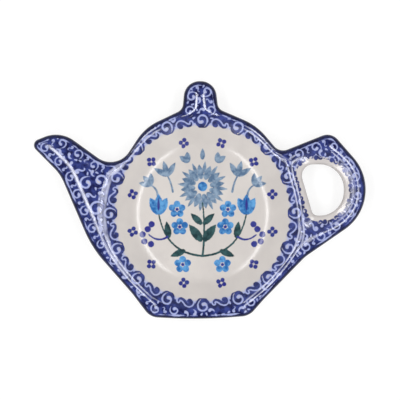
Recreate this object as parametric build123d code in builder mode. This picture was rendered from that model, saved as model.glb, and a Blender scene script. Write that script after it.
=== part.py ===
"""Teapot-shaped tea bag rest in stamped blue and white stoneware, in millimetres, +Z up.

The origin is on the table, under the middle of the outline. +X runs from the spout to the
handle, and +Y from the base of the teapot to its knob.
"""

import os
from math import cos, degrees, hypot, radians, sin, tan
from typing import NamedTuple

from build123d import *

os.makedirs("parts", exist_ok=True)


class Corner(NamedTuple):
    """A corner of an outline, where two of its straight runs would meet.

    angle is its direction from the well in degrees, land how far it lies outside the well's cream
    ground, and radius what rounds it.
    """

    angle: float
    land: float
    radius: float


# Heights above the table and thicknesses, all of the finished, glazed dish
TOP_Z = 13.5
RIM_T = 7.0
WELL_DEPTH = 7.0
BOWL_WALL = 4.6
GLAZE = 0.4

# The round well, which the tea bag lies in: a flat floor, a round turn and a straight wall
WELL_CENTRE = (1.0, -5.0)
FLOOR_R = 23.0
TURN_R = 11.3
WALL_ANGLE = 27.0

# The rim's flanks: how far in from the edge each starts to fall, and how far it has fallen there
EDGE_FLANK = 5.2
EDGE_DROP = 2.1
HOLE_FLANK = 7.0
HOLE_DROP = 2.2

# Rounded edges of the finished dish
EDGE_R = 1.2
UNDER_EDGE_R = 1.4
HOLE_EDGE_R = 1.3

# The ring foot, which is left without glaze
FOOT_R = 27.0
FOOT_W = 4.5
FOOT_EDGE_R = 0.8
DRY_MARGIN = 0.8

# Where the colours change
GROUND_RISE = 3.9
RIM_LINE_W = 1.1
RIM_LINE_DROP = 3.7

# The finished outline, drawn round the well, clockwise from the knob
TEAPOT = (
    Corner(angle=97.5, land=18.8, radius=6.2),  # knob, left
    Corner(angle=84.7, land=18.5, radius=6.2),  # knob, right
    Corner(angle=81.4, land=7.9, radius=3.4),  # knob root, right
    Corner(angle=58.4, land=7.0, radius=24.0),  # shoulder, right
    Corner(angle=38.1, land=5.0, radius=4.6),  # notch by the handle
    Corner(angle=32.2, land=26.2, radius=5.4),  # handle top
    Corner(angle=4.4, land=40.1, radius=19.0),  # handle, outer bend
    Corner(angle=336.8, land=10.3, radius=16.0),  # handle root
    Corner(angle=305.3, land=8.1, radius=10.0),  # base flare, right
    Corner(angle=294.4, land=10.9, radius=7.0),  # base, right
    Corner(angle=268.6, land=8.4, radius=200.0),  # base, bowed middle
    Corner(angle=243.3, land=12.3, radius=6.5),  # base, left
    Corner(angle=228.8, land=8.5, radius=14.0),  # base flare, left
    Corner(angle=197.3, land=12.1, radius=45.0),  # belly
    Corner(angle=164.8, land=24.4, radius=18.0),  # spout, lower bend
    Corner(angle=158.0, land=39.9, radius=2.4),  # spout tip
    Corner(angle=149.9, land=31.1, radius=12.0),  # spout top
    Corner(angle=154.1, land=4.2, radius=8.6),  # notch by the spout
    Corner(angle=123.9, land=7.0, radius=20.0),  # shoulder, left
    Corner(angle=101.0, land=7.9, radius=3.6),  # knob root, left
)

# The finger hole in the handle, drawn the same way
FINGER_HOLE = (
    Corner(angle=26.9, land=8.7, radius=4.4),  # by the well, upper
    Corner(angle=19.0, land=25.3, radius=9.6),  # outer, upper
    Corner(angle=359.0, land=21.8, radius=9.4),  # outer, lower
    Corner(angle=358.7, land=9.9, radius=2.4),  # by the well, lower
)

RIM_UNDER_Z = TOP_Z - RIM_T
BELLY_TOP_Z = RIM_UNDER_Z + 2 * GLAZE
FLOOR_Z = TOP_Z - WELL_DEPTH
TURN_Z = FLOOR_Z + TURN_R
UNDER_Z = FLOOR_Z - BOWL_WALL
COLOUR_Z = TOP_Z - RIM_LINE_DROP
WALL_SLOPE = tan(radians(WALL_ANGLE))
EDGE_SLOPE = EDGE_DROP / EDGE_FLANK
HOLE_SLOPE = HOLE_DROP / HOLE_FLANK
WELL_PLANE = Plane(origin=(*WELL_CENTRE, 0), x_dir=(1, 0, 0), z_dir=(0, -1, 0))
UP = Vector(0, 0, 1)
WELL_AXIS = Axis((*WELL_CENTRE, 0), UP)

# How far what cuts a flank reaches beyond the clay, and how near an edge lies to its own height
MARGIN = 1.0
TOLERANCE = 0.001


def wall_r(arc_r, z):
    """Radius of the well's straight wall at a height, where its turn has radius arc_r."""
    turn_end_r = FLOOR_R + arc_r * sin(radians(WALL_ANGLE))
    turn_end_z = TURN_Z - arc_r * cos(radians(WALL_ANGLE))
    return turn_end_r + (z - turn_end_z) / WALL_SLOPE


GROUND_R = wall_r(TURN_R, FLOOR_Z + GROUND_RISE)


def point_of(corner):
    """Where a corner lies."""
    reach = GROUND_R + corner.land
    x, y = WELL_CENTRE
    return x + reach * cos(radians(corner.angle)), y + reach * sin(radians(corner.angle))


def flat_shape(corners, growth):
    """The face inside a rounded outline, moved outwards by growth.

    Each corner moves with the two runs that meet there, so the moved outline changes from straight
    to round at the same places as the one that was drawn.
    """
    tips = [Vector(*point_of(corner)) for corner in corners]
    points = []
    radii = []
    for corner, before, tip, after in zip(corners, tips[-1:] + tips, tips, tips[1:] + tips[:1]):
        arriving = (tip - before).normalized()
        leaving = (after - tip).normalized()
        outward = UP.cross(arriving) + UP.cross(leaving)
        points.append(tip + outward * (growth / (1 + arriving.dot(leaving))))
        bulges = arriving.cross(leaving).Z < 0
        radii.append(corner.radius + (growth if bulges else -growth))
    with BuildSketch() as flat:
        with BuildLine():
            FilletPolyline(*points, radius=radii, close=True)
        make_face()
    return flat.sketch


def bowl(arc_r, top_z):
    """A plug on the well's axis with a flat floor, a round turn of radius arc_r and a straight wall."""
    with BuildPart() as plug:
        with BuildSketch(WELL_PLANE):
            with BuildLine():
                floor = Line((0, TURN_Z - arc_r), (FLOOR_R, TURN_Z - arc_r))
                turn = CenterArc((FLOOR_R, TURN_Z), arc_r, 270, WALL_ANGLE)
                Polyline(turn @ 1, (wall_r(arc_r, top_z), top_z), (0, top_z), floor @ 0)
            make_face()
        revolve(axis=WELL_AXIS)
    return plug.part


def flank_foot_z(drop, slope, inset):
    """Height at which a flank meets its edge, inset below the glaze."""
    return TOP_Z - drop - inset * (hypot(1, slope) - slope)


def flank_cut(edge, face, way, foot_z, slope):
    """What a flank takes off along one edge of a face, straight or round.

    It climbs into the face where way is 1, and away from it where way is -1.
    """
    start = edge @ 0
    along = edge % 0
    is_left = face.is_inside(edge @ 0.5 + UP.cross(edge % 0.5) * GLAZE)
    climb = UP.cross(along) * (way if is_left else -way)
    reach = (TOP_Z + MARGIN - foot_z) / slope
    is_round = edge.geom_type == GeomType.CIRCLE
    if is_round and (edge.arc_center - start).dot(climb) > 0:
        reach = min(reach, edge.radius)
    section = Plane(origin=start, x_dir=climb, z_dir=climb.cross(UP))
    with BuildPart() as cut:
        with BuildSketch(section):
            with BuildLine():
                Polyline(
                    (-MARGIN, foot_z - slope * MARGIN),
                    (reach, foot_z + slope * reach),
                    (reach, TOP_Z + 2 * MARGIN),
                    (-MARGIN, TOP_Z + 2 * MARGIN),
                    close=True,
                )
            make_face()
        if is_round:
            turn = Axis(edge.arc_center, (start - edge.arc_center).cross(along))
            revolve(axis=turn, revolution_arc=degrees(edge.length / edge.radius))
        else:
            extrude(amount=edge.length, dir=along)
    return cut.part


def at_height(solid, z):
    """The edges of a solid that lie at a height."""
    return solid.edges().filter_by_position(Axis.Z, z - TOLERANCE, z + TOLERANCE)


def dish(inset):
    """The dish without its foot. 0 gives the finished surface, and GLAZE the clay under it."""
    under_z = RIM_UNDER_Z + inset
    top_z = TOP_Z - inset
    edge_z = flank_foot_z(EDGE_DROP, EDGE_SLOPE, inset)
    hole_z = flank_foot_z(HOLE_DROP, HOLE_SLOPE, inset)
    outline = flat_shape(TEAPOT, -inset).face()
    hole = flat_shape(FINGER_HOLE, inset).face()
    edge_cuts = [flank_cut(edge, outline, 1, edge_z, EDGE_SLOPE) for edge in outline.edges()]
    hole_cuts = [flank_cut(edge, hole, -1, hole_z, HOLE_SLOPE) for edge in hole.edges()]
    belly = bowl(TURN_R + BOWL_WALL - inset, BELLY_TOP_Z) & extrude(outline, amount=TOP_Z)
    with BuildPart() as solid:
        extrude(Pos(Z=under_z) * outline, amount=top_z - under_z)
        add(edge_cuts, mode=Mode.SUBTRACT)
        extrude(Pos(Z=under_z) * hole, amount=RIM_T, mode=Mode.SUBTRACT)
        add(hole_cuts, mode=Mode.SUBTRACT)
        fillet(at_height(solid, edge_z), EDGE_R - inset)
        fillet(at_height(solid, hole_z), HOLE_EDGE_R - inset)
        fillet(at_height(solid, under_z), UNDER_EDGE_R - inset)
        add(belly)
        add(bowl(TURN_R + inset, TOP_Z + MARGIN), mode=Mode.SUBTRACT)
    return solid.part


CLAY = dish(GLAZE)
GLAZED = dish(0)

with BuildPart() as coat:
    add(GLAZED)
    add(CLAY, mode=Mode.SUBTRACT)
    with Locations((*WELL_CENTRE, 0)):
        Cylinder(
            FOOT_R + DRY_MARGIN,
            FLOOR_Z - BOWL_WALL / 2,
            align=(Align.CENTER, Align.CENTER, Align.MIN),
            mode=Mode.SUBTRACT,
        )

with BuildPart() as painted_zone:
    add(bowl(TURN_R + BOWL_WALL / 2, COLOUR_Z))
    with BuildSketch(Plane.XY.offset(COLOUR_Z)):
        add(flat_shape(TEAPOT, GLAZE))
    extrude(amount=RIM_LINE_DROP + GLAZE)

with BuildPart() as inside_rim_line:
    with BuildSketch(Plane.XY.offset(UNDER_Z)):
        add(flat_shape(TEAPOT, -RIM_LINE_W))
    extrude(amount=TOP_Z)

with BuildPart() as well_zone:
    with Locations((*WELL_CENTRE, UNDER_Z)):
        Cylinder(GROUND_R, TOP_Z, align=(Align.CENTER, Align.CENTER, Align.MIN))

with BuildPart() as stoneware_body:
    add(CLAY)
    with BuildSketch():
        with Locations(WELL_CENTRE):
            Circle(FOOT_R)
            Circle(FOOT_R - FOOT_W, mode=Mode.SUBTRACT)
    extrude(amount=FLOOR_Z - BOWL_WALL / 2)
    fillet(stoneware_body.edges().group_by(Axis.Z)[0], FOOT_EDGE_R)
stoneware_body.part.label = "stoneware_body"
export_step(stoneware_body.part, "parts/stoneware_body.step")

with BuildPart() as wall_glaze:
    add(coat.part)
    add(painted_zone.part, mode=Mode.SUBTRACT)
wall_glaze.part.label = "wall_glaze"
export_step(wall_glaze.part, "parts/wall_glaze.step")

with BuildPart() as rim_line:
    add(coat.part)
    add(painted_zone.part, mode=Mode.INTERSECT)
    add(inside_rim_line.part, mode=Mode.SUBTRACT)
rim_line.part.label = "rim_line"
export_step(rim_line.part, "parts/rim_line.step")

with BuildPart() as border_glaze:
    add(coat.part)
    add(painted_zone.part, mode=Mode.INTERSECT)
    add(inside_rim_line.part, mode=Mode.INTERSECT)
    add(well_zone.part, mode=Mode.SUBTRACT)
border_glaze.part.label = "border_glaze"
export_step(border_glaze.part, "parts/border_glaze.step")

with BuildPart() as well_glaze:
    add(coat.part)
    add(painted_zone.part, mode=Mode.INTERSECT)
    add(well_zone.part, mode=Mode.INTERSECT)
well_glaze.part.label = "well_glaze"
export_step(well_glaze.part, "parts/well_glaze.step")

with BuildPart() as foot_glaze:
    with BuildSketch(Plane.XY.offset(UNDER_Z)):
        with Locations(WELL_CENTRE):
            Circle(FOOT_R - FOOT_W - DRY_MARGIN)
    extrude(amount=GLAZE)
foot_glaze.part.label = "foot_glaze"
export_step(foot_glaze.part, "parts/foot_glaze.step")
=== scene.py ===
"""Looks of the teapot-shaped tea bag rest: blue and white stoneware with stamped scrolls under a clear glaze.

Shapes are worked out in millimetres from the outline, the finger hole and the round well, and put into
Blender in metres. The rest lies on the floor, with +X from its spout to its handle and +Y up to its knob.
"""

from math import atan, ceil, pi, radians, sin, tan, tau

import bmesh
import bpy
import numpy as np
from bpy.props import FloatProperty, FloatVectorProperty, IntProperty, PointerProperty
from mathutils.geometry import delaunay_2d_cdt
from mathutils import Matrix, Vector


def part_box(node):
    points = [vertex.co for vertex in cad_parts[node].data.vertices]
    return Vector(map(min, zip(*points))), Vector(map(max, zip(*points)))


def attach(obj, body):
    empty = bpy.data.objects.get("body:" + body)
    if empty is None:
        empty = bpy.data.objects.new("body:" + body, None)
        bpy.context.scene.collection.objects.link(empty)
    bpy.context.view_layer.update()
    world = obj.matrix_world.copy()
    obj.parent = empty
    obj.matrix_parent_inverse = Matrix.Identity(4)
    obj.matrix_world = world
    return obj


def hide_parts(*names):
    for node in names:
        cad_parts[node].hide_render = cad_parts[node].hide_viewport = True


bl_info = {
    "name": "Teapot Tea Bag Rest",
    "version": (1, 0, 0),
    "blender": (4, 5, 0),
    "location": "View3D > Sidebar > Tea Rest",
    "description": "Builds a glazed stoneware tea bag rest with stamped cobalt scrolls",
    "category": "Add Mesh",
}

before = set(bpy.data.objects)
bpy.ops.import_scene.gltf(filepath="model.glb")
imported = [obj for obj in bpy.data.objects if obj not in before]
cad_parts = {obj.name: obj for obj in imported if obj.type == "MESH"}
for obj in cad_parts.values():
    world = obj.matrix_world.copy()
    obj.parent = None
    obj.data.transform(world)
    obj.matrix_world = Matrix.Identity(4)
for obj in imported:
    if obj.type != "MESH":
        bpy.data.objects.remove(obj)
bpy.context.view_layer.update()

MM = 0.001


def box_mm(node):
    """Lowest and highest corner of a CAD node in millimetres, to the drawing's hundredth."""
    return [np.round(np.array(corner) / MM, 2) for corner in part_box(node)]


# How thick each coat is, and sizes that the frame gives, in millimetres
GLAZE = 0.4
WELL_LOW, WELL_HIGH = box_mm("well_glaze")
RECESS_LOW, RECESS_HIGH = box_mm("foot_glaze")
WELL = np.round((RECESS_LOW + RECESS_HIGH)[:2] / 2, 1)
GROUND_R = WELL_HIGH[0] - WELL[0]
FLOOR_Z = WELL_LOW[2] + GLAZE
TOP_Z = box_mm("border_glaze")[1][2]
RECESS_Z = RECESS_LOW[2]
RECESS_R = RECESS_HIGH[0] - WELL[0]
BOWL_WALL = FLOOR_Z - RECESS_Z

# The rim, and the well with its flat floor, round turn and straight wall
RIM_T = 7.0
RIM_UNDER_Z = TOP_Z - RIM_T
FLOOR_R = 23.0
TURN_R = 11.3
TURN_Z = FLOOR_Z + TURN_R
WALL_ANGLE = radians(27)

# The rim's flanks: how far in from the edge each starts to fall, and how far it has fallen there. Where
# two sweeps meet, the crest is cut down to a narrow land with eased edges
EDGE_FLANK, EDGE_DROP = 5.2, 2.1
LIP_FLANK, LIP_DROP = 7.0, 2.2
SHOULDER_EASE = 0.8
LAND_CUT = 0.27
LAND_EASE = 0.22

# How softly the belly meets the rim, the circle that folds are averaged over and its points, how round the
# edges are above and below, and how far in the rim line and the lip of the finger hole go
BELLY_EASE = 1.2
EASE_R, EASE_PROBES = 1.0, 6
EDGE_ROUND = 1.0
UNDER_ROUND = 1.7
RIM_LINE_IN = 0.7
LIP_IN = 0.9

# The ring foot, where the clay of the belly joins it, and its two coves, as steps out and up: from the
# belly to its outer wall, and from its inner wall to the recess
FOOT_R = 27.0
FOOT_W = 4.5
FOOT_ROUND = 0.8
DRY_MARGIN = 0.8
JOIN_MARGIN = 0.8
DRY_R = FOOT_R + DRY_MARGIN
JOIN_R = DRY_R + JOIN_MARGIN
FOOT_COVE = ((DRY_MARGIN, 0.25), (0.25, -0.15), (0.0, -0.6))
RECESS_COVE = ((0.0, -0.4), (-0.3, -0.05))

# The clay over the recess, and the glaze in it, drawn up at its rim
RECESS_RINGS = (RECESS_R, 1.0, 0.001)
RECESS_BACK = 0.15
POOL_RISE, POOL_POWER = 0.15, 12

# How deep the clay lies under the outside of its glaze
CLAY_GAP = 0.1
SKIN = GLAZE + CLAY_GAP

# Fineness of the meshes
PATH_STEP = 0.4
FINE_STEP = 0.32
COARSE_STEP = 0.9
UPPER_ROWS = 8
WALL_ROWS = 11
LINE_ROWS = 1
FOOT_ROWS = 6
DISC_CELLS = 200
DISC_STEPS = 4 * DISC_CELLS

# How near the lattice of a sheet comes to its loops, in steps, what counts as one point and as a sliver,
# and the angle of a sharp edge in radians
LATTICE_ROOM = 0.55
SAME_POINT = 1e-7
WELD = 0.002
SLIVER = 0.001
SHARP_ANGLE = 0.9

# Corners of the outline, clockwise from the knob: direction from the well in degrees, how far
# outside the well's cream ground, and the radius that rounds it
TEAPOT = (
    (97.5, 18.8, 6.2),  # knob, left
    (84.7, 18.5, 6.2),  # knob, right
    (81.4, 7.9, 3.4),  # knob root, right
    (58.4, 7.0, 24.0),  # shoulder, right
    (38.1, 5.0, 4.6),  # notch by the handle
    (32.2, 26.2, 5.4),  # handle top
    (4.4, 40.1, 19.0),  # handle, outer bend
    (336.8, 10.3, 16.0),  # handle root
    (305.3, 8.1, 10.0),  # base flare, right
    (294.4, 10.9, 7.0),  # base, right
    (268.6, 8.4, 200.0),  # base, bowed middle
    (243.3, 12.3, 6.5),  # base, left
    (228.8, 8.5, 14.0),  # base flare, left
    (197.3, 12.1, 45.0),  # belly
    (164.8, 24.4, 18.0),  # spout, lower bend
    (158.0, 39.9, 2.4),  # spout tip
    (149.9, 31.1, 12.0),  # spout top
    (154.1, 4.2, 8.6),  # notch by the spout
    (123.9, 7.0, 20.0),  # shoulder, left
    (101.0, 7.9, 3.6),  # knob root, left
)
FINGER_HOLE = (
    (26.9, 8.7, 4.4),  # by the well, upper
    (19.0, 25.3, 9.6),  # outer, upper
    (359.0, 21.8, 9.4),  # outer, lower
    (358.7, 9.9, 2.4),  # by the well, lower
)

# The cobalt ground, and the volutes and tendrils where it meets the cream, round the well and the hole
GROUND_EDGE = 35.4
RING_COUNT = 16
RING_R = 36.0
RING_DISC = 2.85
RING_HOOK = 1.85
RING_HOOK_R = 36.4
RING_TENDRIL, RING_WEIGHT = 2.8, 0.19
RING_TENDRIL_R = 35.3
RING_HALO = 0.55
CREAM_R = 34.3
HOLE_RING = 2.3
HOLE_CREAM = 2.9
HOLE_TENDRIL, HOLE_WEIGHT = 1.5, 0.27
HOLE_TENDRIL_OUT = 2.6
HOLE_TENDRIL_STEP = 5.2
HOLE_HALO = 0.25

# Pale curls reserved in the cobalt ground: rows of hooks and tendrils, each row with its depth from the
# outline and its hooks' radius, then drops and dabs between
ROWS = ((3.2, 1.5), (8.0, 2.2), (13.4, 2.0))
ROW_STEP = 0.3
TENDRIL_SHARE, CURL_WEIGHT = 0.85, 0.17
CURL_ROOM = 1.25
CURL_TILT = 0.5
CURL_SIZES = (0.9, 1.06)
DROP, DROP_TRIES = 1.3, 9000
DAB, DAB_TRIES = 0.7, 9000
FILL_INSIDE, FILL_ROOM = 0.7, 0.8
LINE_ROOM = 0.9
CURL_GAP = 0.1
FIELD_REACH = 1.2

# Where the cobalt ground ends, for room_inside
GROUND_ENDS = (LINE_ROOM, HOLE_RING, GROUND_EDGE)

# A tendril of size 1: where its tail is, how far its line runs, and its turn and lean in radians
TENDRIL_TAIL, TENDRIL_RUN, TENDRIL_TURN, TENDRIL_LEAN = -0.85, 1.6, 4.2, 0.75

# A hook of size 1: the direction it starts in and how far it goes round, in degrees
HOOK_START, HOOK_SWEEP = 250, 325

# How many points draw each kind of stroke
HOOK_POINTS, TENDRIL_POINTS, DROP_POINTS, LEAF_POINTS, STEM_POINTS = 30, 36, 9, 8, 16

# The dark line along the rim as the brush left it, the pale edging inside it, and the waves in both, in
# radians per millimetre, with where the slow ones start
LINE_W, LINE_LEAN, LINE_WOBBLE = 1.12, 0.22, 0.12
EDGING_IN, EDGING_HALF, EDGING_WOBBLE = 0.4, 0.1, 0.25
WAVE_X, WAVE_X_START = 0.31, 1.3
WAVE_Y, WAVE_Y_START = 0.27, 0.4
FINE_WAVE, FINE_SHARE = (0.9, -0.7), 0.5

# The crests are painted pale, partly as thin cobalt and partly as painted highlight of the lights to left and
# right
# How slopes are probed, from which share of slope along x a crest counts, and where the spout begins
PROBE = 0.05
LEAST_SLOPE = 0.1
CREST_FULL, CREST_FADE = 0.55, 0.25
CREST_OUT = 0.6
SPOUT_X, SPOUT_FADE, SPOUT_ROOT_R = -26.0, 6.0, 40.5
SPOUT_BROAD = 0.8

# The spray in the well: its scale, its thinnest strokes, and the ring of dots round it
SPRAY = 1.3
LEAF_TIP = 0.12
STEM_ENDS = (0.34, 0.22)
DOT_RUN = 0.01
DOT_RING_R, DOT_RING_COUNT = 28.4, 12

# How softly a pigment ends, and what makes a Mix node blend colours
EDGE_SOFT = 0.16
COLOUR_MIX = {"out": 2, "data_type": "RGBA"}

# Stage, in metres, with the camera's sensor in millimetres
FRAME_WIDTH = 0.1562
CAMERA_HEIGHT = 1.0
CAMERA_OFFSET_Y = 0.0001
SENSOR = 36.0
STRIP_X, STRIP_Z = 0.41, 1.0
STRIP_WIDTH = 0.18
# Each strip light's parts: where it begins and ends along y, and its share of the brightness
STRIP_PARTS = ((-0.75, 0.6, 1.0), (-1.2, -0.75, 0.25))
FLOOR_HALF = 20.0
FLOOR_DROP = 0.00001
FLOOR_GLOW = 0.78
FLOOR_PAPER, FLOOR_LIT = "#E6E6E6", "#8C8C8C"
WHITE = (1, 1, 1, 1)


def linear(code):
    """An sRGB hex colour as linear red, green and blue."""
    share = np.array([int(code[k : k + 2], 16) for k in (1, 3, 5)]) / 255
    return tuple(np.where(share <= 0.04045, share / 12.92, ((share + 0.055) / 1.055) ** 2.4))


def unit(angle):
    """Unit vectors in the given directions, in radians."""
    return np.stack([np.cos(angle), np.sin(angle)], axis=-1)


def left(vector):
    """The vectors turned a quarter turn to the left."""
    return np.stack([-vector[..., 1], vector[..., 0]], axis=-1)


class RoundedPath:
    """A closed path of straight runs joined by tangent arcs, walked clockwise."""

    def __init__(self, corners):
        angle, beyond, self.radius = np.array(corners).T
        tip = WELL + (GROUND_R + beyond)[:, None] * unit(np.radians(angle))
        into = tip - np.roll(tip, 1, axis=0)
        into /= np.linalg.norm(into, axis=1, keepdims=True)
        out = np.roll(into, -1, axis=0)
        self.turn = np.arctan2((left(into) * out).sum(1), (into * out).sum(1))
        self.side = np.sign(self.turn)
        self.heading = np.arctan2(into[:, 1], into[:, 0])
        cut = (self.radius * np.tan(abs(self.turn) / 2))[:, None]
        start = tip - into * cut
        self.end = tip + out * cut
        self.centre = start + (self.side * self.radius)[:, None] * left(into)
        self.run = np.roll(start, -1, axis=0) - self.end

    def walk(self, step):
        """Points about a step apart along the path, and the outward normal at each."""
        points, headings = [], []
        for k, turn in enumerate(self.turn):
            bend = np.linspace(0, turn, ceil(abs(turn) * self.radius[k] / step), endpoint=False)
            share = np.linspace(0, 1, ceil(np.hypot(*self.run[k]) / step), endpoint=False)
            heading = self.heading[k] + bend
            arm = self.side[k] * self.radius[k] * left(unit(heading))
            points += [self.centre[k] - arm, self.end[k] + share[:, None] * self.run[k]]
            headings += [heading, np.full(len(share), self.heading[k] + turn)]
        return np.concatenate(points), left(unit(np.concatenate(headings)))

    def depth(self, xy):
        """Signed distance to the nearest run or arc, positive inside the path."""
        best = np.full(len(xy), -np.inf)
        for k, turn in enumerate(self.turn):
            length = np.hypot(*self.run[k])
            along = self.run[k] / length
            rel = xy - self.end[k]
            foot = np.clip(rel @ along, 0, length)
            gap = np.linalg.norm(rel - foot[:, None] * along, axis=1)
            signed = np.copysign(gap, -(rel @ left(along)))
            best = np.where(gap < abs(best), signed, best)
            arm = xy - self.centre[k]
            rho = np.linalg.norm(arm, axis=1)
            first = self.heading[k] - self.side[k] * pi / 2
            swept = (self.side[k] * (np.arctan2(arm[:, 1], arm[:, 0]) - first)) % tau
            signed = self.side[k] * (rho - self.radius[k])
            best = np.where((swept <= abs(turn)) & (abs(signed) < abs(best)), signed, best)
        return best


OUTLINE = RoundedPath(TEAPOT)
HOLE = RoundedPath(FINGER_HOLE)


def from_well(xy):
    """Distance from the well's axis."""
    return np.linalg.norm(xy - WELL, axis=1)


def eased(path, xy):
    """Depth averaged round a small circle, which softens the folds where two sides are equally near."""
    round_about = EASE_R * unit(np.arange(EASE_PROBES) * tau / EASE_PROBES)
    return np.mean([path.depth(xy + probe) for probe in round_about], axis=0)


def turned_edge(path, way, xy, inset):
    """How far the surface has fallen where it turns over an edge of the rim, by a quarter circle."""
    rest = np.clip(1 - (way * path.depth(xy) - inset) / EDGE_ROUND, 0, 1)
    return EDGE_ROUND * (1 - np.sqrt(1 - rest**2))


def bowl(xy, arc_r=TURN_R):
    """Height of the well: a flat floor, a round turn of radius arc_r and a straight wall at a tangent.

    A greater arc_r about the same centre gives the belly on the outside of the well.
    """
    out = np.maximum(from_well(xy) - FLOOR_R, 0)
    end = arc_r * sin(WALL_ANGLE)
    turn = np.sqrt(arc_r**2 - np.minimum(out, end) ** 2)
    return TURN_Z - turn + np.maximum(out - end, 0) * tan(WALL_ANGLE)


def soft_lower(a, b, ease):
    """The lower of two heights, eased by a parabola where they differ by less than ease."""
    near = np.clip(1 - abs(a - b) / ease, 0, 1)
    return np.minimum(a, b) - near**2 * ease / 4


def land(a, b):
    """Height of the narrow land that a crest between two heights is cut down to."""
    return (a + b) / 2 - LAND_CUT


def flanks(edge_in, lip_out):
    """Heights of the two straight slopes, from the distance to the outline and that to the finger hole."""
    edge = TOP_Z - EDGE_DROP * (1 - edge_in / EDGE_FLANK)
    lip = TOP_Z - LIP_DROP * (1 - lip_out / LIP_FLANK)
    return edge, lip


def top(xy, inset=0.0):
    """Height of the upper surface, inset below the glaze.

    It is the lowest of four sweeps: the flat rim, the slope along the outline, the one round the finger
    hole, and the bowl. The surface turns over at both edges.
    """
    edge, lip = flanks(eased(OUTLINE, xy) - inset, -eased(HOLE, xy) - inset)
    rim = soft_lower(edge, TOP_Z, SHOULDER_EASE)
    for sweep in (lip, bowl(xy)):
        rim = soft_lower(np.minimum(rim, sweep), land(rim, sweep), LAND_EASE)
    return rim - turned_edge(OUTLINE, 1, xy, inset) - turned_edge(HOLE, -1, xy, inset) - inset


def crest_gap(xy):
    """How far in height each point is from the nearest edge of a shoulder or a land of the rim."""
    edge, lip = flanks(OUTLINE.depth(xy), -HOLE.depth(xy))
    rim = np.minimum(edge, TOP_Z)
    gap = abs(edge - TOP_Z)
    for sweep in (lip, bowl(xy)):
        flat = land(rim, sweep)
        lower = np.minimum(np.minimum(rim, sweep), flat)
        gap = np.minimum(gap + rim - lower, abs(np.minimum(rim, sweep) - flat))
        rim = lower
    return gap


def facing(xy):
    """How far up the dish, along y, the way in from the outline leads, from -1 to 1."""
    side = np.array([0, PROBE])
    return (OUTLINE.depth(xy + side) - OUTLINE.depth(xy - side)) / (2 * PROBE)


def lit_crest_distance(xy):
    """Distance to the nearest pale crest: the gap in height over how fast it grows, on its steeper side.

    The pale is partly painted highlight of the strip lights to left and right, so a crest that runs across
    the dish, or along the upper side of the spout, is put out of reach. By the spout the others are broader,
    so they count as nearer, as the broad painted highlight there.
    """
    gap = crest_gap(xy)
    across, along = (
        np.maximum(abs(crest_gap(xy + side) - gap), abs(crest_gap(xy - side) - gap)) / PROBE
        for side in PROBE * np.eye(2)
    )
    steepness = np.maximum(np.hypot(across, along), LEAST_SLOPE)
    level = np.clip((CREST_FULL - across / steepness) / CREST_FADE, 0, 1)
    spout = np.clip((SPOUT_X - xy[:, 0]) / SPOUT_FADE, 0, 1)
    upper = (from_well(xy) > SPOUT_ROOT_R) & (facing(xy) < 0)
    level = np.maximum(level, spout * upper)
    return gap / steepness / (1 + SPOUT_BROAD * spout) + CREST_OUT * level


def under(xy, inset=0.0):
    """Height of the lower surface: the rim's flat underside, and the belly below it."""
    return soft_lower(bowl(xy, TURN_R + BOWL_WALL), RIM_UNDER_Z, BELLY_EASE) + inset


def raised(xy, z):
    """Flat points with their heights."""
    return np.column_stack([xy, z])


def edge_rows(path, way, first, inset=0.0):
    """Rows of points along a path, over its rounded edge: those above the widest line, then those below.

    The upper rows follow the upper surface from first in to the edge. The lower ones are a quarter of an
    ellipse from there to the underside. way is 1 where the clay is inside the path, and -1 outside it.
    """
    points, normals = path.walk(PATH_STEP)
    inward = -way * normals
    steep = np.linspace(np.arcsin(1 - first / EDGE_ROUND), pi / 2, UPPER_ROWS)
    flat = [points + (inset + depth) * inward for depth in EDGE_ROUND * (1 - np.sin(steep))]
    upper = [raised(xy, top(xy, inset)) for xy in flat]
    low = under(points + (inset + UNDER_ROUND) * inward, inset)
    lower = []
    for bend in np.linspace(0, pi / 2, WALL_ROWS):
        xy = points + (inset + UNDER_ROUND * (1 - np.cos(bend))) * inward
        lower.append(raised(xy, low + (upper[-1][:, 2] - low) * (1 - np.sin(bend))))
    return np.array(upper), np.array(lower)


def strip(rows):
    """Quads between rows of points that each close into a loop."""
    count, length = rows.shape[:2]
    index = np.arange(count * length).reshape(count, length)
    ahead = np.roll(index, -1, axis=1)
    faces = np.stack([index[:-1], ahead[:-1], ahead[1:], index[1:]], axis=-1)
    return rows.reshape(-1, 3), faces.reshape(-1, 4)


def circle(radius):
    """Points round the well's axis."""
    return WELL + radius * unit(np.arange(DISC_STEPS) * tau / DISC_STEPS)


def turned_over(patch):
    """The same points and faces, facing the other way."""
    points, faces = patch
    return points, faces[:, ::-1]


def disc(radius, height):
    """A round sheet on the well's axis, from a square grid of two parameters.

    Each square ring of the grid becomes a circle: the larger parameter is the radius, and the ratio of
    the two an eighth of a turn. height gives z from the flat points.
    """
    a, b = np.meshgrid(*[np.linspace(-1, 1, DISC_CELLS + 1)] * 2)
    wide = abs(a) > abs(b)
    big = np.where(wide, a, b)
    ratio = np.divide(np.where(wide, b, a), big, out=np.zeros_like(big), where=big != 0)
    angle = np.where(wide, ratio, 2 - ratio) * pi / 4
    xy = (WELL + radius * big[..., None] * unit(angle)).reshape(-1, 2)
    index = np.arange(big.size).reshape(big.shape)
    faces = np.stack([index[:-1, :-1], index[:-1, 1:], index[1:, 1:], index[1:, :-1]], axis=-1)
    return raised(xy, height(xy)), faces.reshape(-1, 4)


def room_inside(xy, edge_in, lip_out, well_r):
    """How far flat points lie inside a part of the dish.

    It ends edge_in from the outline, lip_out from the finger hole, and well_r from the well's axis.
    """
    edges = np.minimum(OUTLINE.depth(xy) - edge_in, -HOLE.depth(xy) - lip_out)
    return np.minimum(edges, from_well(xy) - well_r)


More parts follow.
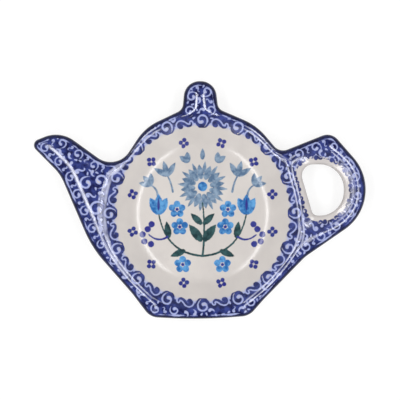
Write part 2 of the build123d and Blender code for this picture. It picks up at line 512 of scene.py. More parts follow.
def sheet(loops, ends, height, step):
    """A sheet between closed loops, as triangles on a lattice of two parameters, x and y.

    ends says for room_inside where the sheet ends, and height gives z. The loops' own points are joined to
    an even triangular lattice between them. Slivers along straight runs lie outside the sheet.
    """
    ring = np.concatenate([loop[:, :2] for loop in loops])
    sizes = [len(loop) for loop in loops]
    starts = np.repeat(np.cumsum([0] + sizes[:-1]), sizes)
    place = np.arange(len(ring)) - starts
    edges = np.column_stack([starts + place, starts + (place + 1) % np.repeat(sizes, sizes)])
    low, high = ring.min(0), ring.max(0)
    row_gap = step * sin(pi / 3)
    y, x = np.mgrid[low[1] : high[1] : row_gap, low[0] : high[0] : step]
    x[::2] += step / 2
    lattice = np.column_stack([x.ravel(), y.ravel()])
    lattice = lattice[room_inside(lattice, *ends) > LATTICE_ROOM * step]
    flat = np.concatenate([ring, lattice]).tolist()
    joined, _, faces, *_ = delaunay_2d_cdt(flat, edges.tolist(), [], 0, SAME_POINT)
    xy = np.array(joined)
    faces = np.array(faces)
    faces = faces[room_inside(xy[faces].mean(1), *ends) > SLIVER]
    used, index = np.unique(faces, return_inverse=True)
    return raised(xy[used], height(xy[used])), index.reshape(faces.shape)


def welded(name, patches):
    """One mesh of several patches of points and faces, joined where their edges meet."""
    mesh = bpy.data.meshes.new(name)
    points, faces, count = [], [], 0
    for patch_points, patch_faces in patches:
        points.append(patch_points)
        faces += (patch_faces + count).tolist()
        count += len(patch_points)
    mesh.from_pydata(np.concatenate(points) * MM, [], faces)
    joined = bmesh.new()
    joined.from_mesh(mesh)
    bmesh.ops.remove_doubles(joined, verts=joined.verts, dist=WELD * MM)
    joined.to_mesh(mesh)
    joined.free()
    return mesh


def flat_points(mesh):
    """The mesh's vertices seen from above, in millimetres."""
    points = np.empty(len(mesh.vertices) * 3)
    mesh.vertices.foreach_get("co", points)
    return points.reshape(-1, 3)[:, :2] / MM


def store(mesh, fields):
    """Keeps each field as a number on every vertex, for the material to read."""
    for name, values in fields.items():
        layer = mesh.attributes.new(name, "FLOAT", "POINT")
        layer.data.foreach_set("value", values.astype(np.float32))


def finished(scene, mesh, material, node, skin=True):
    """Puts a mesh into the scene in place of a CAD node. A skin gets the glaze's thickness."""
    name = mesh.name
    piece = bpy.data.objects.new(name, mesh)
    scene.collection.objects.link(piece)
    if skin:
        solid = piece.modifiers.new("Glaze thickness", "SOLIDIFY")
        solid.thickness = scene.rest_settings.coat
        solid.offset = -1
        shown = piece.evaluated_get(bpy.context.evaluated_depsgraph_get())
        piece.data = bpy.data.meshes.new_from_object(shown)
        piece.modifiers.clear()
    piece.data.name = name
    piece.data.shade_smooth()
    piece.data.set_sharp_from_angle(angle=SHARP_ANGLE)
    piece.data.materials.clear()
    piece.data.materials.append(material(scene.rest_colours))
    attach(piece, "root")
    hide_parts(node)


def stroke(xy, line, half):
    """How far inside a brush stroke each point lies: its half width there, less the gap to its line."""
    run = line[1:] - line[:-1]
    rel = xy[:, None] - line[:-1]
    along = np.clip((rel * run).sum(-1) / (run**2).sum(-1), 0, 1)
    gap = np.linalg.norm(rel - along[..., None] * run, axis=-1)
    return (half[:-1] + along * (half[1:] - half[:-1]) - gap).max(1)


def paint(field, xy, line, half, wipe=False):
    """Adds a stroke to a field of signed distances, or wipes it out of one."""
    middle = (line.min(0) + line.max(0)) / 2
    reach = np.linalg.norm(line - middle, axis=1).max() + half.max() + FIELD_REACH
    near = np.flatnonzero(np.linalg.norm(xy - middle, axis=1) < reach)
    if not len(near):
        return
    inside = stroke(xy[near], line, half)
    field[near] = np.minimum(field[near], -inside) if wipe else np.maximum(field[near], inside)


def hook():
    """A blob that curls out into most of a circle of radius 1 and leaves it in a tapered tail."""
    share = np.linspace(0, 1, HOOK_POINTS)
    radius = np.interp(share, [0, 0.14, 0.26, 0.75, 0.9, 1], [0.4, 0.8, 0.98, 1.0, 1.12, 1.4])
    line = radius[:, None] * unit(np.radians(HOOK_START - HOOK_SWEEP * share))
    return line, np.interp(share, [0, 0.06, 0.2, 0.8, 1], [0.36, 0.38, 0.18, 0.18, 0.05])


def tendril(weight):
    """A scroll that curls tighter towards both ends, about 2 long, with a stroke of half width weight.

    Its heading turns with the square of the way from its middle, further on the side that ends in a blob.
    """
    way = np.linspace(TENDRIL_TAIL, 1, TENDRIL_POINTS)
    heading = TENDRIL_TURN * way**2 - TENDRIL_LEAN
    line = TENDRIL_RUN * (way[1] - way[0]) * np.cumsum(unit(heading), axis=0)
    middle = (line.min(0) + line.max(0)) / 2
    half = np.interp(way, [TENDRIL_TAIL, -0.5, 0, 0.8, 1], [0.5, 0.9, 1.0, 1.1, 1.8])
    return line - middle, weight * half


def drop():
    """A drop bent along part of a circle, of radius 1."""
    share = np.linspace(0, 1, DROP_POINTS)
    line = np.array([-0.5, -0.2]) + 0.85 * unit(np.radians(130 * share - 35))
    return line, 0.46 - 0.38 * share


def dab():
    """A short dab, of radius 1."""
    return np.array([[-0.5, 0.0], [0.5, 0.15]]), np.array([0.55, 0.3])


def placed(motif, centre, size, angle, flip=1):
    """A motif at its place, size and turn, mirrored where flip is -1."""
    line, half = motif
    along = unit(angle)
    return np.array(centre) + size * (line[:, :1] * along + flip * line[:, 1:] * left(along)), size * half


class Layout:
    """Round places on the border that a curl has been set in."""

    def __init__(self):
        self.places = np.empty((0, 3))

    def take(self, centre, room):
        """Takes a place where it is free, and says whether it was."""
        gaps = np.hypot(*(self.places[:, :2] - centre).T) - self.places[:, 2]
        free = bool((gaps > room + CURL_GAP).all())
        if free:
            self.places = np.vstack([self.places, (*centre, room)])
        return free


def reserves(chance):
    """The pale curls in the cobalt ground, as lines with their half widths.

    Rows follow the outline at even depths, with hooks and tendrils by turns, as stamps were set one after
    the other. Drops and dabs then fill what is left.
    """
    layout = Layout()
    for k in range(2 * RING_COUNT):
        layout.take(WELL + RING_R * unit(k * pi / RING_COUNT), RING_DISC)
    curls = []
    pair = ((hook(), 1.0, -pi / 2), (tendril(CURL_WEIGHT), TENDRIL_SHARE, 0.0))
    points, normals = OUTLINE.walk(ROW_STEP)
    for depth, radius in ROWS:
        row = points - depth * normals
        unfolded = OUTLINE.depth(row) > depth - ROW_STEP
        for k in np.flatnonzero(unfolded & (room_inside(row, *GROUND_ENDS) > radius)):
            motif, share, turn = pair[len(curls) % 2]
            if layout.take(row[k], CURL_ROOM * share * radius):
                angle = np.arctan2(normals[k, 1], normals[k, 0]) + turn
                angle += chance.uniform(-CURL_TILT, CURL_TILT)
                size = share * radius * chance.uniform(*CURL_SIZES)
                curls.append(placed(motif, row[k], size, angle))
    for motif, size, tries in ((drop(), DROP, DROP_TRIES), (dab(), DAB, DAB_TRIES)):
        spots = chance.uniform(points.min(0), points.max(0), (tries, 2))
        for spot in spots[room_inside(spots, *GROUND_ENDS) > FILL_INSIDE * size]:
            if layout.take(spot, FILL_ROOM * size):
                curls.append(placed(motif, spot, size, chance.uniform(0, tau), chance.choice((-1, 1))))
    return curls


def ring_strokes():
    """The strokes where the cobalt meets the cream, as (line, half widths, whether it wipes), in order.

    Round the finger hole go blue tendrils, each with a pale halo. Round the well go blue discs with a pale
    hook in each, and between them larger tendrils.
    """
    strokes = []

    def haloed(halo, line, half):
        strokes.append((line, half + halo, True))
        strokes.append((line, half, False))

    points, normals = HOLE.walk(PATH_STEP)
    for k in range(0, len(points), round(HOLE_TENDRIL_STEP / PATH_STEP)):
        place = points[k] + HOLE_TENDRIL_OUT * normals[k]
        angle = np.arctan2(normals[k, 1], normals[k, 0]) + pi / 2
        haloed(HOLE_HALO, *placed(tendril(HOLE_WEIGHT), place, HOLE_TENDRIL, angle))
    for k in range(RING_COUNT):
        angle = k * tau / RING_COUNT
        strokes.append((*dot(WELL + RING_R * unit(angle), RING_DISC), False))
        strokes.append((*placed(hook(), WELL + RING_HOOK_R * unit(angle), RING_HOOK, angle - pi / 2), True))
        between = angle + pi / RING_COUNT
        place = WELL + RING_TENDRIL_R * unit(between)
        haloed(RING_HALO, *placed(tendril(RING_WEIGHT), place, RING_TENDRIL, between + pi / 2))
    return strokes


def brush_wobble(xy):
    """How a hand-held brush strays along the rim, from about -1.5 to 1.5: two slow waves and a fine one."""
    x, y = xy.T
    slow = np.sin(WAVE_X * x + WAVE_X_START) * np.sin(WAVE_Y * y + WAVE_Y_START)
    return slow + FINE_SHARE * np.sin(xy @ FINE_WAVE)


def border_fields(xy, seed):
    """Fields for the border, in millimetres.

    ink is the signed distance into the cobalt: the ground less the pale curls, with the strokes where it
    meets the cream. open is that into the plain cream by the well and the finger hole. edge is that into
    the dark line along the rim, as wide as a hand-held brush leaves it. crest is the distance to the
    nearest crest that is painted pale, as thin cobalt and as painted highlight of the side lights.
    """
    hole = -HOLE.depth(xy)
    depth = OUTLINE.depth(xy)
    wobble = brush_wobble(xy)
    line_in = LINE_W - LINE_LEAN * facing(xy) + LINE_WOBBLE * wobble
    ink = np.minimum(from_well(xy) - GROUND_EDGE, FIELD_REACH)
    for line, half in reserves(np.random.default_rng(seed)):
        paint(ink, xy, line, half, wipe=True)
    ink = np.minimum(ink, abs(depth - line_in - EDGING_IN) - EDGING_HALF + EDGING_WOBBLE * wobble)
    ink = np.minimum(ink, hole - HOLE_RING)
    for line, half, wipes in ring_strokes():
        paint(ink, xy, line, half, wipes)
    return {
        "ink": ink,
        "open": np.maximum(CREAM_R - from_well(xy), HOLE_CREAM - hole),
        "edge": line_in - depth,
        "crest": lit_crest_distance(xy),
    }


def leaf(start, angle, length, width):
    """A pointed leaf or petal: a straight line whose half width swells and tapers like half a sine."""
    along = np.linspace(0, 1, LEAF_POINTS)
    line = np.array(start) + length * along[:, None] * unit(np.radians(angle))
    return line, np.maximum(width * np.sin(pi * along**0.8) ** 0.8, LEAF_TIP)


def stem(*points):
    """A thin stem, drawn as one smooth bend through three points."""
    a, b, c = np.array(points, float)
    t = np.linspace(0, 1, STEM_POINTS)[:, None]
    line = (1 - t) ** 2 * a + 2 * t * (1 - t) * (2 * b - (a + c) / 2) + t**2 * c
    return line, np.linspace(*STEM_ENDS, STEM_POINTS)


def dot(centre, radius):
    """A round dab, as a stroke of hardly any length."""
    return np.array([centre, np.array(centre) + DOT_RUN]), np.full(2, radius)


def well_strokes():
    """The stamped spray in the well, as (pigment, line, half widths), on the well's own axes.

    A daisy stands on a straight stem between two branches that mirror each other, each with a tulip,
    leaves, berries, sprigs and florets. A ring of four-petalled dots goes round them.
    """
    marks = [("leaf", *stem((0, -13), (0.5, -5), (0, 3))), ("slate", *leaf((0, 16.2), 90, 3.2, 0.75))]
    marks += [("slate", *leaf(2.3 * unit(np.radians(a)) + (0, 8), a, 4.3, 1.0)) for a in range(9, 360, 30)]
    marks += [("slate", *leaf(4.2 * unit(np.radians(a)) + (0, 8), a, 3.3, 0.55)) for a in range(24, 360, 30)]
    marks.append(("azure", *dot((0, 8), 1.45)))
    for side in (1, -1):
        turn = np.array([side, 1])

        def both(pigment, mark):
            line, half = mark
            marks.append((pigment, line * turn, half))

        both("leaf", stem((0, -13), (8.8, -9.5), (13.2, -0.5)))
        for start, angle, length, width in (
            ((0.2, -8.5), 52, 6.2, 1.35),
            ((0.2, -3.4), 44, 4.6, 1.0),
            ((5.2, -11.3), -22, 4.8, 1.0),
            ((10.2, -7.6), 82, 5.0, 1.05),
        ):
            both("leaf", leaf(start, angle, length, width))
        for angle, length in ((62, 5.4), (90, 5.9), (118, 5.4)):
            both("azure", leaf((13.3, -0.3), angle, length, 1.4))
        both("cobalt", leaf((13.3, 0.8), 90, 3.6, 0.4))
        both("cobalt", stem((10.6, -7.2), (13.4, -8.0), (16.2, -6.6)))
        for spot in ((16.6, -4.9), (18.1, -6.5), (15.4, -3.4), (17.6, -8.6), (15.6, -9.4)):
            both("cobalt", dot(spot, 0.95))
        for heart in ((6.9, -4.2), (7.7, 1.1), (6.0, -15.6)):
            for angle in range(18, 378, 72):
                both("azure", dot(np.array(heart) + 1.6 * unit(np.radians(angle)), 1.0))
            both("cobalt", dot(heart, 0.5))
        for tip, angles, length in (
            ((10.6, 11.2), (30, 75, 120), 4.6),
            ((15.6, 8.4), (10, 50, 90), 3.6),
            ((4.4, 15.4), (35, 85), 3.0),
        ):
            for angle in angles:
                both("slate", leaf(tip, angle, length, 0.9))
        both("slate", stem((9.0, 6.4), (9.6, 9.0), (10.6, 11.2)))
        both("slate", stem((13.6, 5.4), (14.2, 7.2), (15.6, 8.4)))
    for k in range(DOT_RING_COUNT):
        heart = DOT_RING_R / SPRAY * unit((k + 0.5) * tau / DOT_RING_COUNT)
        marks += [("cobalt", *dot(heart + 0.95 * unit(a * tau / 4 + k), 0.65)) for a in range(4)]
    return marks


def well_fields(xy):
    """Signed distances for the well's four pigments, in millimetres, positive inside the paint."""
    fields = {name: np.full(len(xy), -FIELD_REACH) for name in ("leaf", "slate", "azure", "cobalt")}
    for pigment, line, half in well_strokes():
        paint(fields[pigment], xy - WELL, SPRAY * line, SPRAY * half)
    return fields


def node(tree, kind, inputs=None, out=0, **settings):
    """Adds a shader node, sets its options and gives each input a value or a link. Returns one output."""
    made = tree.nodes.new("ShaderNode" + kind)
    for name, value in settings.items():
        setattr(made, name, value)
    for name, value in (inputs or {}).items():
        if isinstance(value, bpy.types.NodeSocket):
            tree.links.new(value, made.inputs[name])
        else:
            made.inputs[name].default_value = value
    return made.outputs[out] if made.outputs else None


def per(size):
    """The scale that gives a texture features of a size in millimetres."""
    return 1 / (size * MM)


def opaque(colour):
    """A colour with the alpha that a colour socket holds."""
    return (*colour, 1.0)


def new_material(name):
    """An empty node material, and its object coordinates."""
    material = bpy.data.materials.new(name)
    material.use_nodes = True
    tree = material.node_tree
    tree.nodes.clear()
    return material, tree, node(tree, "TexCoord", out="Object")


def clear_glaze(tree, place, colour, roughness=0.09):
    """Ends a material in a clear fired glaze over a colour: a faint orange peel and a hard, even gloss."""
    peel = node(tree, "TexNoise", {"Vector": place, "Scale": per(2.4)})
    normal = node(tree, "Bump", {"Height": peel, "Strength": 0.1, "Distance": 0.03 * MM})
    gloss = {"Roughness": roughness, "IOR": 1.52, "Normal": normal}
    shader = node(tree, "BsdfPrincipled", {"Base Color": colour, **gloss})
    node(tree, "OutputMaterial", {"Surface": shader})


def clouded(tree, place, size, detail, span, first, second):
    """A colour that drifts from one tone to another, in clouds of a size in millimetres.

    span gives the values of the noise between which it goes over.
    """
    cloud = node(tree, "TexNoise", {"Vector": place, "Scale": per(size), "Detail": detail})
    share = node(tree, "MapRange", {"Value": cloud, "From Min": span[0], "From Max": span[1]})
    return node(tree, "Mix", {0: share, 6: opaque(first), 7: opaque(second)}, **COLOUR_MIX)


def body_colour(tree, place, colours):
    """The clay seen through clear glaze: cream with a slow drift of tone and a few iron specks."""
    cream = clouded(tree, place, 14.0, 3.0, (0.35, 0.65), colours.cream, colours.cream_shade)
    cell = node(tree, "TexVoronoi", {"Vector": place, "Scale": per(2.6)}, out="Distance")
    speck = node(tree, "MapRange", {"Value": cell, "From Min": 0.05, "From Max": 0.03})
    chance = node(tree, "TexNoise", {"Vector": place, "Scale": per(5.0)})
    rare = node(tree, "MapRange", {"Value": chance, "From Min": 0.6, "From Max": 0.66, "To Max": 0.5})
    amount = node(tree, "Math", {0: speck, 1: rare}, operation="MULTIPLY")
    return node(tree, "Mix", {0: amount, 6: cream, 7: opaque(colours.speck)}, **COLOUR_MIX)


def painted(tree, place, under_colour, name, dark, light, patch=2.2):
    """Lays a pigment over a colour, where the distance that the mesh keeps under its name is above 0.

    It is thick and thin as a stamp leaves it, and ruffled at the edge as colour that sank into raw clay.
    """
    distance = node(tree, "Attribute", out="Fac", attribute_name=name)
    ruffle = node(tree, "TexNoise", {"Vector": place, "Scale": per(0.9), "Detail": 1.0})
    shift = node(tree, "Math", {0: ruffle, 1: 0.3, 2: -0.15}, operation="MULTIPLY_ADD")
    edge = node(tree, "Math", {0: distance, 1: shift}, operation="ADD")
    soft = {"Value": edge, "From Min": -EDGE_SOFT, "From Max": EDGE_SOFT}
    mask = node(tree, "MapRange", soft, interpolation_type="SMOOTHSTEP")
    tone = clouded(tree, place, patch, 2.0, (0.36, 0.66), dark, light)
    return node(tree, "Mix", {0: mask, 6: under_colour, 7: tone}, **COLOUR_MIX)


def border_material(colours):
    """Stoneware stamped with cobalt under a clear glaze.

    The blue bleeds, so narrow pale gaps go lavender and wide ones stay cream in the middle. It lies thinner
    beside the cream, and runs thin and streaky on the crests, where the pale is also a painted highlight of
    the strip lights to left and right.
    """
    material, tree, place = new_material("stamped_cobalt_under_clear_glaze")
    clear, ink, gap = (
        node(tree, "Attribute", out="Fac", attribute_name=name) for name in ("open", "ink", "crest")
    )
    cream = body_colour(tree, place, colours)
    bleed = opaque(colours.bleed)
    plain = node(tree, "MapRange", {"Value": clear, "From Min": -0.5, "From Max": 0.3})
    wide = node(tree, "MapRange", {"Value": ink, "From Min": -0.25, "From Max": -0.65, "To Max": 0.85})
    share = node(tree, "Math", {0: plain, 1: wide}, operation="MAXIMUM")
    pale = node(tree, "Mix", {0: share, 6: bleed, 7: cream}, **COLOUR_MIX)
    stamped = painted(tree, place, pale, "ink", colours.cobalt, colours.cobalt_thin)
    weak = node(tree, "MapRange", {"Value": clear, "From Min": -4.5, "From Max": -2.5, "To Max": 0.05})
    blue = node(tree, "Mix", {0: weak, 6: stamped, 7: bleed}, **COLOUR_MIX)
    # Near the crests the colour goes pale in streaks: cobalt run thin, and painted highlight of the strip
    # lights
    crest_highlight_share = node(tree, "MapRange", {"Value": gap, "From Min": 0.48, "From Max": 0.14, "To Max": 0.85})
    streak = node(tree, "TexNoise", {"Vector": place, "Scale": per(5.0), "Detail": 3.0})
    patchy = node(tree, "MapRange", {"Value": streak, "From Min": 0.35, "From Max": 0.6, "To Min": 0.3})
    thin = node(tree, "Math", {0: crest_highlight_share, 1: patchy}, operation="MULTIPLY")
    crest_highlighted = node(tree, "Mix", {0: thin, 6: blue, 7: opaque(colours.crest)}, **COLOUR_MIX)
    lined = painted(tree, place, crest_highlighted, "edge", colours.rim_line, colours.rim_line_thin)
    clear_glaze(tree, place, lined, 0.12)
    return material


def well_material(colours):
    """Stoneware stamped with four pigments under a clear glaze, which lies a little thicker in the well."""
    material, tree, place = new_material("stamped_flowers_under_clear_glaze")
    colour = body_colour(tree, place, colours)
    for name, dark, light in (
        ("slate", colours.slate, colours.slate_thin),
        ("azure", colours.azure, colours.azure_thin),
        ("leaf", colours.leaf, colours.leaf_thin),
        ("cobalt", colours.cobalt_dot, colours.cobalt_thin),
    ):
        colour = painted(tree, place, colour, name, dark, light, patch=1.8)
    clear_glaze(tree, place, colour, 0.2)
    return material


def rim_material(colours):
    """A line of strong cobalt banded on with a brush and glazed: nearly black, bluer where it is thin."""
    material, tree, place = new_material("brushed_dark_cobalt_under_glaze")
    tone = clouded(tree, place, 3.0, 3.0, (0.4, 0.75), colours.rim_line, colours.rim_line_thin)
    clear_glaze(tree, place, tone)
    return material


def outer_material(colours):
    """Cream stoneware dipped in clear glaze: soft drifts of tone and a few iron specks."""
    material, tree, place = new_material("dipped_clear_glaze_on_stoneware")
    clear_glaze(tree, place, body_colour(tree, place, colours), 0.11)
    return material


def bare_material(colours):
    """Fired stoneware wiped clean of glaze: warm, matt and finely gritty."""
    material, tree, place = new_material("bare_fired_stoneware")
    grit = node(tree, "TexNoise", {"Vector": place, "Scale": per(0.5), "Detail": 4.0})
    share = node(tree, "MapRange", {"Value": grit, "From Min": 0.3, "From Max": 0.7})
    tones = {0: share, 6: opaque(colours.clay), 7: opaque(colours.clay_grit)}
    tone = node(tree, "Mix", tones, **COLOUR_MIX)
    rough = node(tree, "MapRange", {"Value": grit, "To Min": 0.75, "To Max": 0.95})
    normal = node(tree, "Bump", {"Height": grit, "Strength": 0.5, "Distance": 0.08 * MM})
    shader = node(tree, "BsdfPrincipled", {"Base Color": tone, "Roughness": rough, "Normal": normal})
    node(tree, "OutputMaterial", {"Surface": shader})
    return material


def colour(name, description, code):
    """A colour that the panel shows."""
    return FloatVectorProperty(
        name=name, description=description, subtype="COLOR", min=0.0, max=1.0, default=linear(code)
    )


class RestColours(bpy.types.PropertyGroup):
    """Colours of the clay, the pigments and the glaze."""

    cream: colour("Cream", "Glazed clay", "#D8D2CD")
    cream_shade: colour("Cream shade", "Glazed clay where the glaze is thicker", "#CFC9C5")
    speck: colour("Speck", "Iron specks in the clay", "#8C7A6A")
    bleed: colour("Bleed", "Pale gaps that the cobalt has bled into", "#A8B1E0")
    # Pale of the crests: cobalt run thin, and painted highlight of the strip lights
    crest: colour("Crest", "Glaze over a crest where the cobalt ran thin, with painted highlight", "#D0D4EE")
    cobalt: colour("Cobalt", "Cobalt where it lies thick", "#14184A")
    cobalt_thin: colour("Cobalt, thin", "Cobalt where it lies thin", "#39458C")
    cobalt_dot: colour("Cobalt dots", "Cobalt of the small stamps", "#2E2F86")
    rim_line: colour("Rim line", "Dark line along the rim", "#1D1F3C")
    rim_line_thin: colour("Rim line, thin", "Dark line where the brush ran dry", "#2E3460")
    slate: colour("Slate", "Grey-blue of the daisy", "#56718F")
    slate_thin: colour("Slate, thin", "Grey-blue where it lies thin", "#8DA3BA")
    azure: colour("Azure", "Mid blue of the tulips", "#2565A8")
    azure_thin: colour("Azure, thin", "Mid blue where it lies thin", "#62A2D8")
    leaf: colour("Leaf", "Dark green of the leaves", "#17353A")
    leaf_thin: colour("Leaf, thin", "Dark green where it lies thin", "#34595C")
    clay: colour("Clay", "Unglazed foot", "#CBB79F")
    clay_grit: colour("Clay grit", "Grains in the unglazed foot", "#A58D74")


class RestSettings(bpy.types.PropertyGroup):
    """Sizes and light that a user would change."""

    coat: FloatProperty(
        name="Glaze", description="Thickness of the glaze", default=GLAZE * MM, unit="LENGTH"
    )
    seed: IntProperty(name="Seed", description="Which scatter of curls the border has", default=7)
    light: FloatProperty(
        name="Strip radiance", description="Brightness of the two strip lights", default=9.1
    )
    fill: FloatProperty(name="Fill light", description="Strength of the even light", default=0.15)


class REST_OT_clay(bpy.types.Operator):
    """Builds the clay dish under the glaze, with its ring foot."""

    bl_idname = "rest.clay"
    bl_label = "Clay body"

    def execute(self, context):
        upper, lower = edge_rows(OUTLINE, 1, RIM_LINE_IN, SKIN)
        lip, lip_under = edge_rows(HOLE, -1, LIP_IN, SKIN)
        join = circle(JOIN_R)
        above = (SKIN + RIM_LINE_IN, SKIN + LIP_IN, -np.inf)
        below = (SKIN + UNDER_ROUND, SKIN + UNDER_ROUND, JOIN_R)
        belly = sheet([lower[-1], lip_under[-1], join], below, lambda xy: under(xy, SKIN), COARSE_STEP)
        patches = [
            strip(np.concatenate([upper, lower[1:]])),
            strip(np.concatenate([lip, lip_under[1:]])[::-1]),
            sheet([upper[0], lip[0]], above, lambda xy: top(xy, SKIN), COARSE_STEP),
            turned_over(belly),
            self.foot(join),
        ]
        mesh = welded("clay_body", patches)
        finished(context.scene, mesh, bare_material, "stoneware_body", skin=False)
        return {"FINISHED"}

    @staticmethod
    def foot(join):
        """The ring foot: circles round the well, down the outside, round the tread and up to the recess."""
        bend = np.linspace(0, pi / 2, FOOT_ROWS)
        rising = FOOT_ROUND * (1 - np.cos(bend))
        falling = FOOT_ROUND * (1 - np.sin(bend))
        inner = FOOT_R - FOOT_W
        profile = [
            *np.add(FOOT_COVE, (FOOT_R, under(circle(DRY_R))[0])),
            *zip(FOOT_R - rising, falling),
            *zip(inner + falling, rising),
            *np.add(RECESS_COVE, (inner, RECESS_Z)),
            *((radius, RECESS_Z + RECESS_BACK) for radius in RECESS_RINGS),
        ]
        rows = [raised(circle(radius), np.full(DISC_STEPS, z)) for radius, z in profile]
        return strip(np.array([raised(join, under(join, SKIN)), *rows])[:, ::-1])


class REST_OT_well(bpy.types.Operator):
    """Builds the well's ground with its stamped spray."""

    bl_idname = "rest.well"
    bl_label = "Painted well"

    def execute(self, context):
        mesh = welded("painted_well", [disc(GROUND_R, top)])
        store(mesh, well_fields(flat_points(mesh)))
        finished(context.scene, mesh, well_material, "well_glaze")
        return {"FINISHED"}


class REST_OT_border(bpy.types.Operator):
    """Builds the stamped border between the well and the rim line, with the lip of the finger hole."""

    bl_idname = "rest.border"
    bl_label = "Painted border"

    def execute(self, context):
        outer = edge_rows(OUTLINE, 1, RIM_LINE_IN)[0][0]
        lip, lip_under = edge_rows(HOLE, -1, LIP_IN)
        ends = (RIM_LINE_IN, LIP_IN, GROUND_R)
        patches = [
            sheet([outer, lip[0], circle(GROUND_R)], ends, top, FINE_STEP),
            strip(np.concatenate([lip, lip_under[1 : LINE_ROWS + 1]])[::-1]),
        ]
        mesh = welded("painted_border", patches)
        store(mesh, border_fields(flat_points(mesh), context.scene.rest_settings.seed))
        finished(context.scene, mesh, border_material, "border_glaze")
        return {"FINISHED"}


class REST_OT_rim(bpy.types.Operator):
    """Builds the dark line that wraps the outer edge."""

    bl_idname = "rest.rim"
    bl_label = "Rim band"

    def execute(self, context):
        upper, lower = edge_rows(OUTLINE, 1, RIM_LINE_IN)
        mesh = welded("rim_band", [strip(np.concatenate([upper, lower[1 : LINE_ROWS + 1]]))])
        finished(context.scene, mesh, rim_material, "rim_line")
        return {"FINISHED"}


class REST_OT_outside(bpy.types.Operator):
    """Builds the clear glaze on the outer wall and the underside, down to the dry line by the foot."""

    bl_idname = "rest.outside"
    bl_label = "Outer glaze"

    def execute(self, context):
        lower = edge_rows(OUTLINE, 1, RIM_LINE_IN)[1]
        lip_under = edge_rows(HOLE, -1, LIP_IN)[1]
        ends = (UNDER_ROUND, UNDER_ROUND, DRY_R)
        belly = sheet([lower[-1], lip_under[-1], circle(DRY_R)], ends, under, COARSE_STEP)
        patches = [strip(lower[LINE_ROWS:]), strip(lip_under[LINE_ROWS:][::-1]), turned_over(belly)]
        mesh = welded("outer_glaze", patches)
        finished(context.scene, mesh, outer_material, "wall_glaze")
        return {"FINISHED"}


class REST_OT_recess(bpy.types.Operator):
    """Builds the glaze inside the ring foot."""

    bl_idname = "rest.recess"
    bl_label = "Foot recess glaze"

    def execute(self, context):
        mesh = welded("foot_recess_glaze", [turned_over(disc(RECESS_R, self.pooled))])
        finished(context.scene, mesh, outer_material, "foot_glaze")
        return {"FINISHED"}

    @staticmethod
    def pooled(xy):
        """Height of the glaze in the recess, drawn up at its rim."""
        return RECESS_Z + POOL_RISE * (from_well(xy) / RECESS_R) ** POOL_POWER


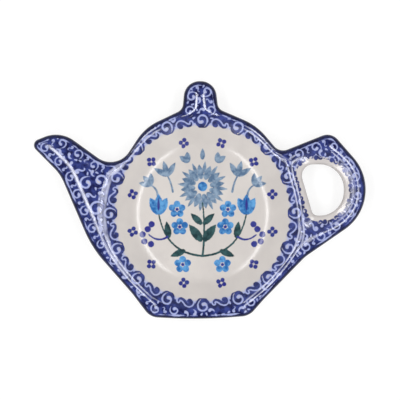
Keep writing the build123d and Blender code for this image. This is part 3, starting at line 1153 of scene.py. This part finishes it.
class REST_OT_stage(bpy.types.Operator):
    """Builds the pale floor, two strip lights, the fill light and the camera straight above."""

    bl_idname = "rest.stage"
    bl_label = "Stage"

    def execute(self, context):
        scene = context.scene
        scene.view_settings.view_transform = "Standard"
        self.floor(scene)
        self.fill(scene)
        for side in (-1, 1):
            for part in STRIP_PARTS:
                self.strip_light(scene, side, *part)
        camera = bpy.data.objects.new("camera", bpy.data.cameras.new("camera"))
        camera.data.sensor_width = SENSOR
        camera.data.lens = SENSOR * (CAMERA_HEIGHT - TOP_Z * MM) / FRAME_WIDTH
        camera.location = (0, CAMERA_OFFSET_Y, CAMERA_HEIGHT)
        scene.collection.objects.link(camera)
        scene.camera = camera
        return {"FINISHED"}

    @staticmethod
    def floor(scene):
        """A pale floor that shows near white to the camera and in reflections, and keeps the shadow."""
        mesh = bpy.data.meshes.new("floor")
        corners = FLOOR_HALF * np.array([(-1, -1, 0), (1, -1, 0), (1, 1, 0), (-1, 1, 0)])
        mesh.from_pydata(corners - (0, 0, FLOOR_DROP), [], [(0, 1, 2, 3)])
        floor = bpy.data.objects.new("floor", mesh)
        scene.collection.objects.link(floor)
        material, tree, _ = new_material("white_paper_sweep")
        path = node(tree, "LightPath", out="Is Camera Ray")
        rays = path.node.outputs
        seen = node(tree, "Math", {0: path, 1: rays["Is Glossy Ray"]}, operation="MAXIMUM")
        seen = node(tree, "Math", {0: seen, 1: rays["Is Transmission Ray"]}, operation="MAXIMUM")
        paper = node(tree, "BsdfDiffuse", {"Color": opaque(linear(FLOOR_PAPER))})
        lit = node(tree, "BsdfDiffuse", {"Color": opaque(linear(FLOOR_LIT))})
        glow = node(tree, "Emission", {"Color": WHITE, "Strength": FLOOR_GLOW})
        shown = node(tree, "AddShader", {0: lit, 1: glow})
        surface = node(tree, "MixShader", {0: seen, 1: paper, 2: shown})
        node(tree, "OutputMaterial", {"Surface": surface})
        mesh.materials.append(material)

    @staticmethod
    def fill(scene):
        """Even light from all round."""
        world = bpy.data.worlds.new("studio")
        world.use_nodes = True
        tree = world.node_tree
        tree.nodes.clear()
        even = node(tree, "Background", {"Color": WHITE, "Strength": scene.rest_settings.fill})
        node(tree, "OutputWorld", {"Surface": even})
        scene.world = world

    @staticmethod
    def strip_light(scene, side, begin, end, share):
        """Part of a long softbox to the left or right, which shows as a thin line on each rounded edge."""
        light = bpy.data.lights.new("strip", "AREA")
        light.shape = "RECTANGLE"
        light.size = STRIP_WIDTH
        light.size_y = end - begin
        light.energy = share * scene.rest_settings.light * pi * STRIP_WIDTH * (end - begin)
        lamp = bpy.data.objects.new("strip", light)
        lamp.location = (side * STRIP_X, (begin + end) / 2, STRIP_Z)
        lamp.rotation_euler = (0, side * atan(STRIP_X / STRIP_Z), 0)
        lamp.visible_camera = False
        scene.collection.objects.link(lamp)


class REST_PT_panel(bpy.types.Panel):
    """Lists the rest's settings and the steps that build it."""

    bl_idname = "REST_PT_panel"
    bl_label = "Tea Bag Rest"
    bl_space_type = "VIEW_3D"
    bl_region_type = "UI"
    bl_category = "Tea Rest"

    def draw(self, context):
        for group in (context.scene.rest_settings, context.scene.rest_colours):
            for name in group.__annotations__:
                self.layout.prop(group, name)
        for step in STEPS:
            self.layout.operator(step.bl_idname)


STEPS = (
    REST_OT_clay,
    REST_OT_well,
    REST_OT_border,
    REST_OT_rim,
    REST_OT_outside,
    REST_OT_recess,
    REST_OT_stage,
)
CLASSES = (RestColours, RestSettings, *STEPS, REST_PT_panel)


def register():
    """Adds the classes and the scene's settings."""
    for kind in CLASSES:
        bpy.utils.register_class(kind)
    bpy.types.Scene.rest_colours = PointerProperty(type=RestColours)
    bpy.types.Scene.rest_settings = PointerProperty(type=RestSettings)


def unregister():
    """Takes the settings and the classes away again."""
    del bpy.types.Scene.rest_settings
    del bpy.types.Scene.rest_colours
    for kind in reversed(CLASSES):
        bpy.utils.unregister_class(kind)


def main():
    """Builds the rest and its stage."""
    register()
    bpy.ops.rest.clay()
    bpy.ops.rest.well()
    bpy.ops.rest.border()
    bpy.ops.rest.rim()
    bpy.ops.rest.outside()
    bpy.ops.rest.recess()
    bpy.ops.rest.stage()


if __name__ == "__main__":
    main()
